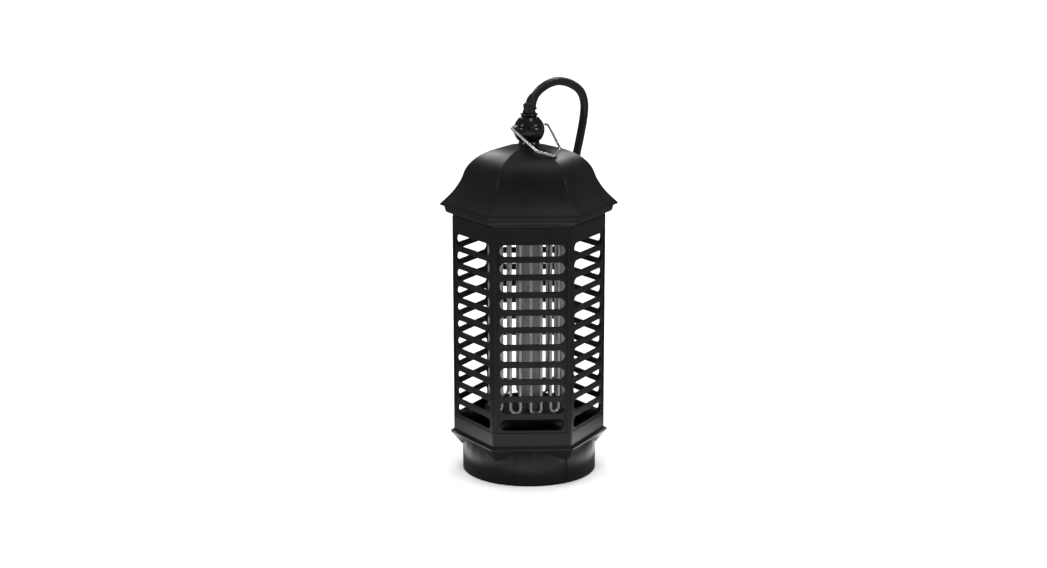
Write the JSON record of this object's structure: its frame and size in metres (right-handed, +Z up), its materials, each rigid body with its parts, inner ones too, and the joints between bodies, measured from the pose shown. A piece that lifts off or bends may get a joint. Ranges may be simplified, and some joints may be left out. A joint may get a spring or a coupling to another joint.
{
  "type": "electric bug zapper",
  "caption": "Hexagonal lantern insect killer with slotted grille faces, a lamp inside a ring of high-voltage wires, a twist-off collection cup, a wire hanging bail and a mains lead.",
  "frame": {"origin": "centre of the collection cup's flat bottom, on the floor under the lamp's axis", "axes": "+Z up along the lamp's axis; -Y towards the face turned to the viewer; +X to that viewer's right"},
  "size_m": [0.1244, 0.2008, 0.276],
  "materials": {
    "black_plastic": "satin moulded",
    "gloss_black": "gloss",
    "dark_plastic": "matt",
    "cable_sleeve": "satin",
    "tie": "matt",
    "wire_steel": "bright drawn wire",
    "bail_steel": "bright drawn wire",
    "brass": "bright",
    "lamp_glass": "coated glass",
    "lamp_cap": "satin",
    "white_plastic": "satin",
    "board_green": "lacquered",
    "copper_wire": "lacquered",
    "core_iron": "laminated",
    "red_film": "gloss",
    "blue_can": "sleeved",
    "black_epoxy": "gloss",
    "tan_body": "gloss",
    "green_block": "satin",
    "blue_wire": "satin"
  },
  "bodies": {
    "housing": {"roof_shell": "black_plastic", "finial_lower": "gloss_black", "finial_cap": "gloss_black", "finial_nut": "dark_plastic", "cord_gland": "cable_sleeve", "cage_frame": "black_plastic", "grille_front": "black_plastic", "grille_front_right": "black_plastic", "grille_back_right": "black_plastic", "grille_back": "black_plastic", "grille_back_left": "black_plastic", "grille_front_left": "black_plastic", "base_ring": "black_plastic", "upper_deck": "dark_plastic", "lower_deck": "dark_plastic", "grid_live": "wire_steel", "grid_return": "wire_steel", "live_bus": "brass", "return_bus": "brass", "lamp_tube": "lamp_glass", "lamp_caps": "lamp_cap", "lamp_pins": "brass", "upper_lamp_holder": "white_plastic", "lower_lamp_holder": "white_plastic", "circuit_board": "board_green", "board_posts": "dark_plastic", "board_screws": "wire_steel", "roof_screws": "wire_steel", "ballast_coil": "copper_wire", "ballast_core": "core_iron", "film_capacitors": "red_film", "electrolytic_capacitor": "blue_can", "diodes": "black_epoxy", "resistors": "tan_body", "terminal_block": "green_block", "lead_wires": "blue_wire", "lamp_wires": "cable_sleeve", "power_cord": "cable_sleeve", "cord_coil": "cable_sleeve", "coil_tie": "tie", "plug_lead": "cable_sleeve", "plug_body": "cable_sleeve", "plug_blades": "brass"},
    "cup": {"collection_cup": "black_plastic"},
    "bail": {"hanging_bail": "bail_steel"}
  },
  "joints": [
    {"name": "bail_pivot", "type": "hinge", "parent": "housing", "child": "bail", "pos_m": [0, 0, 0.246], "axis": [-0.866, -0.5, 0], "range_deg": [0, 115]},
    {"name": "cup_twist", "type": "hinge", "parent": "housing", "child": "cup", "pos_m": [0, 0, 0], "axis": [0, 0, -1], "range_deg": [0, 30]}
  ]
}
